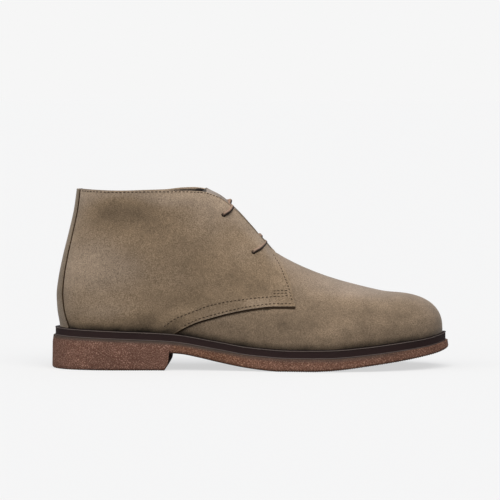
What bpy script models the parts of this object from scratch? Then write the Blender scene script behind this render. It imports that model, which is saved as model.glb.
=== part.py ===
"""Two-eyelet suede chukka boot for the right foot.

The toe points to +X, up is +Z and the outer (lateral) side of the foot is -Y.
The last's feather line drives everything: the upper stands on it, the midsole
and the outsole are parallel to it, and the insole lies inside it.
Sizes are in millimetres and turned into metres when the meshes are made.
"""
import math
from collections import namedtuple

import bmesh
import bpy
from mathutils import Vector

MM = 0.001
LATERAL = -1
MEDIAL = 1

# Last
TOE_TIP = 145.7            # front of the upper
TOE_START = 72.0           # the outline starts to close towards the toe here
HEEL_START = -98.0         # and here towards the heel
HEEL_FULLNESS = 2.25       # exponent of the heel's round end
TOE_FULLNESS = 2.0
NOSE_START = 105.0         # the vamp starts to fall to the nose here
NOSE_FOOT = 28.0           # height where the nose turns vertical
NOSE_FULLNESS = 2.5

# Thicknesses and gaps
WALL = 2.6                 # suede and lining together
TONGUE_WALL = 2.2
INSOLE_THICK = 3.5
GAP = 0.3                  # between touching pieces
INSOLE_INSET = WALL + 0.6
WELT_MARGIN = 4.0          # the midsole stands out past the feather line
TOE_TRIM = 1.5             # and is trimmed closer by this round the toe's tip
TOE_TRIM_START = 108.0

# Outsole
OUTSOLE_TOP_FLARE = 1.3    # past the midsole's edge
OUTSOLE_MID_FLARE = 2.0
OUTSOLE_LOW_FLARE = 2.3
OUTSOLE_FOOT_FLARE = 1.2
OUTSOLE_SHOULDER = 5.0     # depth of the middle loop under the outsole's top
OUTSOLE_EDGE = 2.2         # height of the rounded lower edge
BREAST_FOOT = -63.4        # heel breast at the floor, on the middle line
BREAST_TURN = -60.8        # above its bevelled foot
BREAST_BEVEL = 4.6         # height of the bevel
BREAST_HEAD = -59.8        # and at the waist
BREAST_SKEW = 0.03         # the heel runs further forward on the medial side
CUTTER_REACH = 80.0        # half width of the sole's cutters
CUTTER_DEPTH = 20.0        # and how far they reach below the floor

# Throat, collar and lace
COLLAR_RISE = 1.0          # the collar climbs this much from the heel's round to the back seam
THROAT_BASE = 17.7
FACING_FRONT_ROW = -26.0
EYELET_HOLE = 3.8
CORD = 3.0
BAR_CLEAR = 0.8            # between a lace bar and what it lies on

EyeletRow = namedtuple("EyeletRow", "name x z crossing")
EYELETS = [
    EyeletRow("top", -20.4, 115.6, -15.0),
    EyeletRow("low", 2.0, 87.7, 9.0),
]

SoleRow = namedtuple("SoleRow", "x centre half_width seat midsole")
SOLE = [
    SoleRow(-150.0, 0.0, 31.2, 30.9, 5.9),
    SoleRow(-98.0, 0.0, 31.2, 28.9, 5.9),
    SoleRow(-60.0, -1.0, 30.0, 27.1, 5.9),
    SoleRow(-24.0, -3.0, 30.4, 21.4, 5.9),
    SoleRow(0.0, -4.0, 33.6, 17.5, 6.0),
    SoleRow(30.0, -3.2, 41.2, 15.6, 6.0),
    SoleRow(60.0, -1.1, 46.2, 16.0, 6.2),
    SoleRow(84.0, 1.3, 46.8, 17.8, 6.2),
    SoleRow(112.0, 3.8, 46.8, 20.9, 6.2),
    SoleRow(134.0, 5.9, 46.8, 23.5, 6.2),
    SoleRow(144.0, 6.9, 46.8, 25.6, 6.2),
    SoleRow(152.0, 7.7, 46.8, 27.6, 6.2),
]

SectionRow = namedtuple("SectionRow", "x top half_gap bulge share fall turn top_y")
SECTIONS = [
    SectionRow(150.0, 55.4, 0.0, 0.030, 0.30, 2.1, 2.00, 7.5),
    SectionRow(120.0, 56.3, 0.0, 0.030, 0.28, 2.1, 2.00, 6.0),
    SectionRow(105.0, 57.0, 0.0, 0.030, 0.26, 2.1, 2.00, 5.0),
    SectionRow(90.0, 59.7, 0.0, 0.030, 0.24, 2.1, 2.00, 4.4),
    SectionRow(75.0, 63.6, 0.0, 0.030, 0.22, 2.0, 2.00, 3.8),
    SectionRow(60.0, 68.2, 0.0, 0.030, 0.20, 1.9, 1.95, 3.2),
    SectionRow(45.0, 73.7, 0.0, 0.032, 0.18, 1.8, 1.85, 2.6),
    SectionRow(30.0, 80.6, 0.0, 0.036, 0.17, 1.7, 1.75, 2.0),
    SectionRow(17.7, 88.1, 0.0, 0.040, 0.16, 1.6, 1.65, 1.6),
    SectionRow(10.0, 96.6, 4.8, 0.044, 0.16, 1.6, 1.50, 1.2),
    SectionRow(0.0, 107.7, 7.0, 0.050, 0.16, 1.6, 1.40, 0.9),
    SectionRow(-10.0, 118.3, 8.8, 0.056, 0.16, 1.7, 1.30, 0.6),
    SectionRow(-20.0, 126.7, 10.8, 0.060, 0.16, 1.8, 1.25, 0.4),
    SectionRow(-26.0, 130.2, 12.8, 0.062, 0.16, 1.9, 1.20, 0.2),
    SectionRow(-34.5, 133.1, 19.4, 0.064, 0.16, 2.0, 1.15, 0.0),
    SectionRow(-45.0, 134.1, 25.6, 0.066, 0.16, 2.0, 1.10, 0.0),
    SectionRow(-60.0, 134.3, 29.8, 0.066, 0.16, 2.0, 1.05, 0.0),
    SectionRow(-80.0, 134.2, 31.2, 0.064, 0.16, 2.0, 1.00, 0.0),
    SectionRow(-98.0, 133.9, 30.6, 0.060, 0.16, 2.0, 1.00, 0.0),
]

BackRow = namedtuple("BackRow", "z x")
HEEL_BACK = [
    BackRow(26.0, -143.2),
    BackRow(34.0, -144.2),
    BackRow(44.0, -145.8),
    BackRow(55.0, -146.4),
    BackRow(66.0, -145.2),
    BackRow(84.0, -141.6),
    BackRow(102.0, -137.1),
    BackRow(120.0, -133.0),
    BackRow(134.0, -131.0),
]

TreadRow = namedtuple("TreadRow", "x z")
WAIST_LINE = [
    TreadRow(BREAST_HEAD, 13.0),
    TreadRow(-50.0, 12.2),
    TreadRow(-38.0, 9.8),
    TreadRow(-24.0, 6.4),
    TreadRow(-8.0, 3.2),
    TreadRow(8.0, 1.0),
    TreadRow(24.0, -0.6),
]
TOE_SPRING = [
    TreadRow(48.0, -0.4),
    TreadRow(63.0, 0.9),
    TreadRow(87.0, 3.8),
    TreadRow(111.0, 7.0),
    TreadRow(133.0, 10.4),
    TreadRow(142.0, 12.2),
    TreadRow(148.0, 13.9),
    TreadRow(156.0, 16.6),
]

TongueRow = namedtuple("TongueRow", "x half_width crown")
TONGUE = [
    TongueRow(30.0, 14.0, 0.0),
    TongueRow(24.0, 18.0, 0.0),
    TongueRow(17.7, 21.0, 0.0),
    TongueRow(11.0, 22.5, 0.40),
    TongueRow(4.0, 23.5, 0.42),
    TongueRow(-4.0, 24.5, 0.44),
    TongueRow(-12.0, 25.5, 0.46),
    TongueRow(-20.0, 26.0, 0.46),
    TongueRow(-26.0, 26.0, 0.42),
    TongueRow(-31.0, 25.5, 0.36),
]

COLOURS = {
    "upper": (0.205, 0.150, 0.102),
    "tongue": (0.235, 0.190, 0.155),
    "midsole": (0.034, 0.021, 0.018),
    "outsole": (0.130, 0.071, 0.051),
    "insole": (0.300, 0.210, 0.130),
    "lace": (0.188, 0.127, 0.098),
}
ROUGHNESS = {"upper": 0.95, "tongue": 0.95, "midsole": 0.55, "outsole": 0.85, "insole": 0.7,
             "lace": 0.8}


def mix(a, b, share):
    return a + (b - a) * share


def smooth(table, key, column, at):
    """Value of a table's column at a place of its key column, on a curve that never overshoots."""
    rows = sorted(table, key=lambda row: getattr(row, key))
    places = [getattr(row, key) for row in rows]
    values = [getattr(row, column) for row in rows]
    if at <= places[0]:
        return values[0]
    if at >= places[-1]:
        return values[-1]
    steps = [b - a for a, b in zip(places, places[1:])]
    slopes = [(b - a) / step for a, b, step in zip(values, values[1:], steps)]
    tangents = [slopes[0]]
    for before, after in zip(slopes, slopes[1:]):
        level = before * after <= 0.0
        tangents.append(0.0 if level else 2.0 * before * after / (before + after))
    tangents.append(slopes[-1])
    index = max(i for i, place in enumerate(places[:-1]) if place <= at)
    step = steps[index]
    t = (at - places[index]) / step
    return (values[index] * (1.0 + 2.0 * t) * (1.0 - t) ** 2
            + tangents[index] * step * t * (1.0 - t) ** 2
            + values[index + 1] * t * t * (3.0 - 2.0 * t)
            - tangents[index + 1] * step * t * t * (1.0 - t))


def closing(distance, length, fullness):
    """1 while the distance is negative, falling to 0 at the length as a superellipse."""
    share = min(max(distance / length, 0.0), 1.0)
    return (1.0 - share ** fullness) ** (1.0 / fullness)


def seat(x):
    """Height of the midsole's upper face."""
    return smooth(SOLE, "x", "seat", x)


def midsole_foot(x):
    return seat(x) - smooth(SOLE, "x", "midsole", x)


def heel_back(z):
    return smooth(HEEL_BACK, "z", "x", z)


FEATHER_BACK = heel_back(seat(HEEL_START))


def feather_half(x):
    half = smooth(SOLE, "x", "half_width", x)
    toe = closing(x - TOE_START, TOE_TIP - TOE_START, TOE_FULLNESS)
    heel = closing(HEEL_START - x, HEEL_START - FEATHER_BACK, HEEL_FULLNESS)
    return half * toe * heel


def section_top(x):
    """Height of the vamp ridge, the facing's edge or the collar."""
    top = smooth(SECTIONS, "x", "top", x)
    nose = closing(x - NOSE_START, TOE_TIP - NOSE_START, NOSE_FULLNESS)
    return mix(NOSE_FOOT, top, nose)


LOW_SHARE = 0.25           # this share of a rib's points lies under its widest place


def rib(x, up):
    """Height share and half width on the section at x; up is 0 at the feather and 1 at the top."""
    feather = feather_half(max(x, HEEL_START))
    widest = feather * (1.0 + smooth(SECTIONS, "x", "bulge", x))
    gap = smooth(SECTIONS, "x", "half_gap", x) if x < THROAT_BASE else 0.0
    share = smooth(SECTIONS, "x", "share", x)
    if up < LOW_SHARE:
        climb = up / LOW_SHARE
        return share * climb, widest - (widest - feather) * (1.0 - climb) ** 2
    climb = math.sin((up - LOW_SHARE) / (1.0 - LOW_SHARE) * math.pi / 2.0)
    fall = smooth(SECTIONS, "x", "fall", x)
    turn = smooth(SECTIONS, "x", "turn", x)
    arch = max(1.0 - climb ** fall, 0.0) ** (1.0 / turn)
    return mix(share, 1.0, climb), gap + (widest - gap) * arch


def body_point(side, x, up):
    """Outer surface of the upper from the toe to the start of the heel's round."""
    height, half = rib(x, up)
    z = mix(seat(x) + GAP, section_top(x), height)
    centre = mix(smooth(SOLE, "x", "centre", x), smooth(SECTIONS, "x", "top_y", x), height)
    return Vector((x, centre + side * half, z))


def heel_point(side, angle, up):
    """Outer surface of the upper round the heel; the angle is 90 degrees at the back seam."""
    height, half = rib(HEEL_START, up)
    reach = math.sin(angle) ** (2.0 / HEEL_FULLNESS)
    foot = mix(HEEL_START, FEATHER_BACK, reach)
    z = mix(seat(foot) + GAP, section_top(HEEL_START) + COLLAR_RISE * reach ** 2, height)
    x = mix(HEEL_START, heel_back(z), reach)
    closed = max(math.cos(angle), 0.0) ** (2.0 / HEEL_FULLNESS)
    return Vector((x, side * half * closed, z))


def outward(side, x, up):
    """Unit normal of the upper's outer surface."""
    step = 0.2
    small = 0.004
    along = body_point(side, x + step, up) - body_point(side, x - step, up)
    low, high = max(up - small, 0.0), min(up + small, 1.0)
    rise = body_point(side, x, high) - body_point(side, x, low)
    return (along.cross(rise) * -side).normalized()


def spread(start, end, count):
    return [mix(start, end, i / count) for i in range(count)]


TOE_STEPS = 11
HEEL_STEPS = 10
SpanRow = namedtuple("SpanRow", "front back steps")
SPANS = [
    SpanRow(80.0, THROAT_BASE, 7),
    SpanRow(THROAT_BASE, FACING_FRONT_ROW, 9),
    SpanRow(FACING_FRONT_ROW, -50.0, 4),
    SpanRow(-50.0, HEEL_START, 5),
]


def body_stations():
    """Places of the sections from the toe's tip to the start of the heel's round."""
    toe = [mix(SPANS[0].front, TOE_TIP, math.cos(i / TOE_STEPS * math.pi / 2.0))
           for i in range(TOE_STEPS)]
    return toe + [place for row in SPANS for place in spread(row.front, row.back, row.steps)]


def heel_angles():
    return [i / HEEL_STEPS * math.pi / 2.0 for i in range(HEEL_STEPS + 1)]


def outline(offset):
    """Closed plan outline at a distance from the feather line: toe, lateral side, heel, medial."""
    lateral = [body_point(LATERAL, x, 0.0) for x in body_stations()]
    lateral += [heel_point(LATERAL, angle, 0.0) for angle in heel_angles()]
    medial = [body_point(MEDIAL, x, 0.0) for x in body_stations()]
    medial += [heel_point(MEDIAL, angle, 0.0) for angle in heel_angles()]
    loop = [Vector((p.x, p.y)) for p in lateral + medial[-2:0:-1]]
    count = len(loop)
    moved = []
    for i, point in enumerate(loop):
        tangent = (loop[(i + 1) % count] - loop[i - 1]).normalized()
        away = offset - TOE_TRIM * toe_share(point.x) if offset > 0.0 else offset
        moved.append(point + Vector((tangent.y, -tangent.x)) * -away)
    return moved


def toe_share(x):
    """0 behind the toe, easing to 1 at its tip."""
    share = min(max((x - TOE_TRIM_START) / (TOE_TIP - TOE_TRIM_START), 0.0), 1.0)
    return share * share * (3.0 - 2.0 * share)


def material(name):
    made = bpy.data.materials.new(name)
    made.use_nodes = True
    shader = made.node_tree.nodes["Principled BSDF"]
    shader.inputs["Base Color"].default_value = (*COLOURS[name], 1.0)
    shader.inputs["Roughness"].default_value = ROUGHNESS[name]
    shader.inputs["Metallic"].default_value = 0.0
    return made


def finish_mesh(name, builder, collection, finish):
    """Object from a bmesh in millimetres."""
    bmesh.ops.scale(builder, vec=(MM, MM, MM), verts=builder.verts)
    bmesh.ops.recalc_face_normals(builder, faces=builder.faces)
    mesh = bpy.data.meshes.new(name)
    builder.to_mesh(mesh)
    builder.free()
    mesh.shade_smooth()
    mesh.set_sharp_from_angle(angle=math.radians(35.0))
    if finish:
        mesh.materials.append(finish)
    made = bpy.data.objects.new(name, mesh)
    collection.objects.link(made)
    return made


def plate(name, levels, collection, finish):
    """Closed plate from loops (offset, height function), lowest first, capped across."""
    builder = bmesh.new()
    rings = []
    for offset, height in levels:
        ring = [builder.verts.new((p.x, p.y, height(p.x))) for p in outline(offset)]
        rings.append(ring)
    count = len(rings[0])
    for low, high in zip(rings, rings[1:]):
        for i in range(count):
            after = (i + 1) % count
            builder.faces.new((low[i], low[after], high[after], high[i]))
    for ring in (rings[0], rings[-1]):
        builder.faces.new((ring[0], ring[1], ring[-1]))
        for i in range(1, count // 2 - 1):
            builder.faces.new((ring[i], ring[i + 1], ring[-i - 1], ring[-i]))
        middle = count // 2
        builder.faces.new((ring[middle - 1], ring[middle], ring[middle + 1]))
    return finish_mesh(name, builder, collection, finish)


def profile_cutter(name, line, skewed, collection):
    """What lies under a line (x, z), through the whole width; its first points may be skewed."""
    points = [(line[0][0], -CUTTER_DEPTH)] + line + [(line[-1][0], -CUTTER_DEPTH)]
    builder = bmesh.new()
    face = builder.faces.new([builder.verts.new((x, -CUTTER_REACH, z)) for x, z in points])
    pushed = bmesh.ops.extrude_face_region(builder, geom=[face])
    moved = [item for item in pushed["geom"] if isinstance(item, bmesh.types.BMVert)]
    bmesh.ops.translate(builder, vec=(0.0, 2.0 * CUTTER_REACH, 0.0), verts=moved)
    for vert in builder.verts:
        if vert.co.x <= skewed:
            vert.co.x += vert.co.y * BREAST_SKEW
    return hide_cutter(finish_mesh(name, builder, collection, None))


def hide_cutter(cutter):
    cutter.hide_render = True
    cutter.display_type = "WIRE"
    return cutter


def cut(piece, cutter):
    boolean = piece.modifiers.new(cutter.name, "BOOLEAN")
    boolean.operation = "DIFFERENCE"
    boolean.solver = "EXACT"
    boolean.object = cutter


def solidify(piece, thickness):
    shell = piece.modifiers.new("wall", "SOLIDIFY")
    shell.thickness = thickness * MM
    shell.offset = -1.0
    shell.use_even_offset = True


WAIST_STEPS = 14
SPRING_STEPS = 12


def make_soles(collection, cutters):
    def outsole_top(x):
        return midsole_foot(x) - GAP

    def shoulder(x):
        return outsole_top(x) - OUTSOLE_SHOULDER

    plate("insole", [(-INSOLE_INSET, lambda x: seat(x) + GAP),
                     (-INSOLE_INSET, lambda x: seat(x) + GAP + INSOLE_THICK)],
          collection, material("insole"))
    plate("midsole", [(WELT_MARGIN, midsole_foot), (WELT_MARGIN, seat)],
          collection, material("midsole"))
    outsole = plate("outsole", [
        (WELT_MARGIN + OUTSOLE_FOOT_FLARE, lambda x: 0.0),
        (WELT_MARGIN + OUTSOLE_LOW_FLARE, lambda x: OUTSOLE_EDGE),
        (WELT_MARGIN + OUTSOLE_MID_FLARE, shoulder),
        (WELT_MARGIN + OUTSOLE_TOP_FLARE, outsole_top),
    ], collection, material("outsole"))
    waist = [(BREAST_FOOT, 0.0), (BREAST_TURN, BREAST_BEVEL)] + fine_line(WAIST_LINE, WAIST_STEPS)
    cut(outsole, profile_cutter("waist_cutter", waist, BREAST_HEAD, cutters))
    spring = fine_line(TOE_SPRING, SPRING_STEPS)
    cut(outsole, profile_cutter("spring_cutter", spring, BREAST_HEAD, cutters))


def fine_line(table, count):
    """Smooth line with evenly placed points through a table of x and z."""
    places = [mix(table[0].x, table[-1].x, i / count) for i in range(count + 1)]
    return [(x, smooth(table, "x", "z", x)) for x in places]


RIB_POINTS = 12


def make_upper(collection, cutters):
    """One hollow form: ribs from the feather to the ridge, facing or collar, joined round the last."""
    builder = bmesh.new()
    ups = [i / RIB_POINTS for i in range(RIB_POINTS + 1)]
    stations = [(body_point, x) for x in body_stations()]
    stations += [(heel_point, angle) for angle in heel_angles()]
    columns = []
    for number, (place, at) in enumerate(stations):
        ends = number in (0, len(stations) - 1)
        lateral = [builder.verts.new(place(LATERAL, at, up)) for up in ups]
        medial = [low if ends else builder.verts.new(place(MEDIAL, at, up))
                  for low, up in zip(lateral, ups)]
        if place is body_point and at >= THROAT_BASE:
            if not ends:
                builder.verts.remove(medial[-1])
            medial[-1] = lateral[-1]
        columns.append((lateral, medial))
    for (lateral_a, medial_a), (lateral_b, medial_b) in zip(columns, columns[1:]):
        for a, b, flip in ((lateral_a, lateral_b, False), (medial_a, medial_b, True)):
            for j in range(RIB_POINTS):
                corners = [a[j], b[j], b[j + 1], a[j + 1]]
                if flip:
                    corners.reverse()
                builder.faces.new(corners)
    upper = finish_mesh("upper", builder, collection, material("upper"))
    solidify(upper, WALL)
    for row in EYELETS:
        for side in (LATERAL, MEDIAL):
            point, normal = on_surface(side, row.x, row.z)
            label = f"eyelet_{row.name}_{'lateral' if side == LATERAL else 'medial'}_cutter"
            cut(upper, rod(label, point, normal, EYELET_HOLE / 2.0, 8.0, cutters))
    return upper


def on_surface(side, x, z):
    """Point and normal of the upper at a place seen from the side."""
    low, high = 0.0, 1.0
    for _ in range(40):
        middle = (low + high) / 2.0
        if body_point(side, x, middle).z < z:
            low = middle
        else:
            high = middle
    return body_point(side, x, low), outward(side, x, low)


def rod(name, centre, direction, radius, half_length, collection):
    """Round cutter along a direction."""
    builder = bmesh.new()
    bmesh.ops.create_cone(builder, cap_ends=True, segments=16, radius1=radius, radius2=radius,
                          depth=2.0 * half_length)
    bmesh.ops.rotate(builder, verts=builder.verts, cent=(0, 0, 0),
                     matrix=Vector((0, 0, 1)).rotation_difference(direction).to_matrix())
    bmesh.ops.translate(builder, vec=centre, verts=builder.verts)
    return hide_cutter(finish_mesh(name, builder, collection, None))


def resample(points, length, count):
    """Points evenly placed along the first part of a line."""
    placed = [points[0]]
    step = length / count
    travelled, wanted = 0.0, step
    for a, b in zip(points, points[1:]):
        run = (b - a).length
        while wanted <= travelled + run + 1e-9 and len(placed) <= count:
            placed.append(a.lerp(b, (wanted - travelled) / run))
            wanted += step
        travelled += run
    return placed


TipRow = namedtuple("TipRow", "back rise narrow")
TONGUE_TIP = [
    TipRow(4.6, 3.2, 0.97),
    TipRow(6.6, 4.6, 0.86),
]
TONGUE_HALF_COLUMNS = 7
FLANK_STEPS = 60
CROWN_STEPS = 8
TONGUE_DEPTH = WALL + 1.0  # of its face under the upper's face


def tongue_half(side, row):
    """Line from the tongue's crown down one flank, under the facing."""
    ups = [1.0 - i / FLANK_STEPS for i in range(FLANK_STEPS * 2 // 3)]
    flank = [body_point(side, row.x, up) - outward(side, row.x, up) * TONGUE_DEPTH for up in ups]
    other = body_point(-side, row.x, 1.0) - outward(-side, row.x, 1.0) * TONGUE_DEPTH
    edge = flank[0]
    lean = outward(side, row.x, 1.0) + outward(-side, row.x, 1.0)
    lean.normalize()
    middle = (edge + other) / 2.0
    reach = (edge - other).length / 2.0
    if row.crown == 0.0 or reach < 0.5:
        flank = [p for p in flank if (p.y - middle.y) * side > 0.0]
        return [Vector((middle.x, middle.y, max(p.z for p in flank)))] + flank
    arch = []
    for i in range(CROWN_STEPS):
        share = i / CROWN_STEPS
        arch.append(middle.lerp(edge, share) + lean * (row.crown * reach * (1.0 - share ** 2)))
    return arch + flank


def make_tongue(collection):
    builder = bmesh.new()
    grid = []
    for row in TONGUE:
        lateral = resample(tongue_half(LATERAL, row), row.half_width, TONGUE_HALF_COLUMNS)
        medial = resample(tongue_half(MEDIAL, row), row.half_width, TONGUE_HALF_COLUMNS)
        grid.append([builder.verts.new(p) for p in lateral[::-1] + medial[1:]])
    top = [vert.co.copy() for vert in grid[-1]]
    for row in TONGUE_TIP:
        moved = [Vector((p.x - row.back, p.y * row.narrow, p.z + row.rise)) for p in top]
        grid.append([builder.verts.new(p) for p in moved])
    for front, back in zip(grid, grid[1:]):
        for j in range(len(front) - 1):
            builder.faces.new((front[j], back[j], back[j + 1], front[j + 1]))
    tongue = finish_mesh("tongue", builder, collection, material("tongue"))
    solidify(tongue, TONGUE_WALL)
    return tongue


def bar_half(side, row):
    """Points of a lace bar from its eyelet to the middle of the throat."""
    lift = CORD / 2.0 + BAR_CLEAR
    start, start_normal = on_surface(side, row.x, row.z)
    edge, edge_normal = body_point(side, row.crossing, 1.0), outward(side, row.crossing, 1.0)
    near, near_normal = on_surface(side, mix(row.x, row.crossing, 0.5), mix(row.z, edge.z, 0.5))
    crown = smooth(TONGUE, "x", "crown", row.crossing)
    arch = tongue_half(side, TongueRow(row.crossing, 0.0, crown))
    top = arch[0] + Vector((edge_normal.x, 0.0, edge_normal.z)).normalized() * lift
    return [start + start_normal * lift, near + near_normal * lift, edge + edge_normal * lift, top]


def rounded(points, count):
    """Smooth curve through points, with so many steps between each two."""
    ends = [points[0] * 2.0 - points[1]] + points + [points[-1] * 2.0 - points[-2]]
    curve = []
    for before, a, b, after in zip(ends, ends[1:], ends[2:], ends[3:]):
        for i in range(count):
            t = i / count
            curve.append(0.5 * (2.0 * a + (b - before) * t
                                + (2.0 * before - 5.0 * a + 4.0 * b - after) * t * t
                                + (3.0 * a - before - 3.0 * b + after) * t ** 3))
    return curve + [points[-1]]


BAR_STEPS = 5


def make_lace(collection):
    finish = material("lace")
    for row in EYELETS:
        lateral, medial = bar_half(LATERAL, row), bar_half(MEDIAL, row)
        middle = (lateral[-1] + medial[-1]) / 2.0
        path = rounded(lateral[:-1] + [middle] + medial[-2::-1], BAR_STEPS)
        curve = bpy.data.curves.new(f"lace_bar_{row.name}", "CURVE")
        curve.dimensions = "3D"
        curve.bevel_depth = CORD / 2.0 * MM
        curve.bevel_resolution = 2
        curve.use_fill_caps = True
        curve.render_resolution_u = 0
        spline = curve.splines.new("POLY")
        spline.points.add(len(path) - 1)
        for point, place in zip(spline.points, path):
            point.co = (*(place * MM), 1.0)
        curve.materials.append(finish)
        collection.objects.link(bpy.data.objects.new(curve.name, curve))


def main():
    for old in list(bpy.data.objects):
        bpy.data.objects.remove(old, do_unlink=True)
    boot = bpy.data.collections.new("chukka_boot")
    cutters = bpy.data.collections.new("cutters")
    bpy.context.scene.collection.children.link(boot)
    bpy.context.scene.collection.children.link(cutters)
    make_soles(boot, cutters)
    make_upper(boot, cutters)
    make_tongue(boot)
    make_lace(boot)


main()
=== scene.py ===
import math
from bisect import bisect_right
from functools import cache

import bpy
from mathutils import Matrix, Vector, noise


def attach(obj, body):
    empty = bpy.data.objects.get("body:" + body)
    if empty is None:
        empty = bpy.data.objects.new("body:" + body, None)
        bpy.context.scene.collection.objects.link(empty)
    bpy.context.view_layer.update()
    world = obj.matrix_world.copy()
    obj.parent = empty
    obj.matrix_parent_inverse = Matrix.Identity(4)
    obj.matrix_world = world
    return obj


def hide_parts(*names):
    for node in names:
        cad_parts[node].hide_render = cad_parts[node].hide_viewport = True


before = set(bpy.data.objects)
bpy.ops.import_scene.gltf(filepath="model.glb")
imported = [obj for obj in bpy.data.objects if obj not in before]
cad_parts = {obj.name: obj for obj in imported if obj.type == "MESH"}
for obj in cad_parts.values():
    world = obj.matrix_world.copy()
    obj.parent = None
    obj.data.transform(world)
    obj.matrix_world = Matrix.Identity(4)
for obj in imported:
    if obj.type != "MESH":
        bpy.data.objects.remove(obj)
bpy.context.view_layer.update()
print("frame loaded")

# Everything is laid out in millimetres and made in metres. The toe points to +X, the outer side is -Y.
mm = 0.001
lateral, medial = -1, 1
bothSides = ((lateral, "lateral"), (medial, "medial"))


def placed(name, data):
    made = bpy.data.objects.new(name, data)
    bpy.context.scene.collection.objects.link(made)
    return made


stand = dict(place=(-0.45, -2650, 215), aim=(-0.45, 0, 88.5), lens=252.5)
camera = placed("camera", bpy.data.cameras.new("camera"))
camera.location = Vector(stand["place"]) * mm
camera.rotation_euler = (Vector(stand["aim"]) * mm - camera.location).to_track_quat("-Z", "Y").to_euler()
camera.data.lens = stand["lens"]
camera.data.clip_start, camera.data.clip_end = 0.05, 60
bpy.context.scene.camera = camera


def mix(a, b, share):
    return a + (b - a) * share


def eased(value, start, end):
    # 0 before the start, 1 past the end, smooth between
    share = min(max((value - start) / (end - start), 0), 1)
    return share * share * (3 - 2 * share)


def steadyCurve(places, values):
    # smooth curve through a row of values that never overshoots, flat past its ends
    steps = [b - a for a, b in zip(places, places[1:])]
    slopes = [(b - a) / step for a, b, step in zip(values, values[1:], steps)]
    tangents = [slopes[0]]
    for before, after in zip(slopes, slopes[1:]):
        level = before * after <= 0
        tangents.append(0 if level else 2 * before * after / (before + after))
    tangents.append(slopes[-1])

    def at(place):
        if place <= places[0]:
            return values[0]
        if place >= places[-1]:
            return values[-1]
        i = bisect_right(places, place) - 1
        step = steps[i]
        t = (place - places[i]) / step
        return (values[i] * (1 + 2 * t) * (1 - t) ** 2 + tangents[i] * step * t * (1 - t) ** 2
                + values[i + 1] * t * t * (3 - 2 * t) - tangents[i + 1] * step * t * t * (1 - t))
    return at


def curves(places, table):
    return {name: steadyCurve(places, values) for name, values in table.items()}


# The last, as in the part's source
last = dict(
    toeTip=145.7, toeStart=72, toeFullness=2,
    heelStart=-98, heelFullness=2.25, heelRise=1, heelRun=64,
    noseStart=105, noseFoot=28, noseFullness=2.5,
    throatBase=17.7, facingTop=-26, lowShare=0.25, gap=0.3)
toeTip, heelStart, throatBase = last["toeTip"], last["heelStart"], last["throatBase"]
sole = curves((-150, -98, -60, -24, 0, 30, 60, 84, 112, 134, 144, 152), dict(
    centre=(0, 0, -1, -3, -4, -3.2, -1.1, 1.3, 3.8, 5.9, 6.9, 7.7),
    halfWidth=(31.2, 31.2, 30, 30.4, 33.6, 41.2, 46.2, 46.8, 46.8, 46.8, 46.8, 46.8),
    seat=(30.9, 28.9, 27.1, 21.4, 17.5, 15.6, 16, 17.8, 20.9, 23.5, 25.6, 27.6),
    strip=(5.9, 5.9, 5.9, 5.9, 6, 6, 6.2, 6.2, 6.2, 6.2, 6.2, 6.2)))
seat = sole["seat"]
section = curves(
    (-98, -80, -60, -45, -34.5, -26, -20, -10, 0, 10, 17.7, 30, 45, 60, 75, 90, 105, 120, 150), dict(
    top=(133.9, 134.2, 134.3, 134.1, 133.1, 130.2, 126.7, 118.3, 107.7, 96.6, 88.1, 80.6, 73.7, 68.2,
         63.6, 59.7, 57, 56.3, 55.4),
    halfGap=(30.6, 31.2, 29.8, 25.6, 19.4, 12.8, 10.8, 8.8, 7, 4.8) + (0,) * 9,
    bulge=(0.06, 0.064, 0.066, 0.066, 0.064, 0.062, 0.06, 0.056, 0.05, 0.044, 0.04, 0.036, 0.032)
    + (0.03,) * 6,
    share=(0.16,) * 11 + (0.17, 0.18, 0.2, 0.22, 0.24, 0.26, 0.28, 0.3),
    fall=(2,) * 5 + (1.9, 1.8, 1.7, 1.6, 1.6, 1.6, 1.7, 1.8, 1.9, 2, 2.1, 2.1, 2.1, 2.1),
    turn=(1, 1, 1.05, 1.1, 1.15, 1.2, 1.25, 1.3, 1.4, 1.5, 1.65, 1.75, 1.85, 1.95) + (2,) * 5,
    topY=(0,) * 5 + (0.2, 0.4, 0.6, 0.9, 1.2, 1.6, 2, 2.6, 3.2, 3.8, 4.4, 5, 6, 7.5)))
heelBack = steadyCurve(
    (26, 34, 44, 55, 66, 84, 102, 120, 134),
    (-143.2, -144.2, -145.8, -146.4, -145.2, -141.6, -137.1, -133, -131))
featherBack = heelBack(seat(heelStart))
heelEnd = heelStart - last["heelRun"]      # stations past the heel's start run round it


def closing(distance, length, fullness):
    share = min(max(distance / length, 0), 1)
    return (1 - share ** fullness) ** (1 / fullness)


@cache
def ribAt(x):
    toe = closing(x - last["toeStart"], toeTip - last["toeStart"], last["toeFullness"])
    nose = closing(x - last["noseStart"], toeTip - last["noseStart"], last["noseFullness"])
    feather = sole["halfWidth"](x) * toe
    return dict(
        feather=feather, widest=feather * (1 + section["bulge"](x)),
        halfGap=section["halfGap"](x) if x < throatBase else 0,
        share=section["share"](x), fall=section["fall"](x), turn=section["turn"](x),
        foot=seat(x) + last["gap"], top=mix(last["noseFoot"], section["top"](x), nose),
        footY=sole["centre"](x), topY=section["topY"](x))


def ribShape(rib, up):
    # height share and half width; up is 0 at the feather line and 1 at the ridge, facing or collar
    low, share = last["lowShare"], rib["share"]
    if up < low:
        climb = up / low
        return share * climb, rib["widest"] - (rib["widest"] - rib["feather"]) * (1 - climb) ** 2
    climb = math.sin((up - low) / (1 - low) * math.pi / 2)
    arch = max(1 - climb ** rib["fall"], 0) ** (1 / rib["turn"])
    return mix(share, 1, climb), rib["halfGap"] + (rib["widest"] - rib["halfGap"]) * arch


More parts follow.
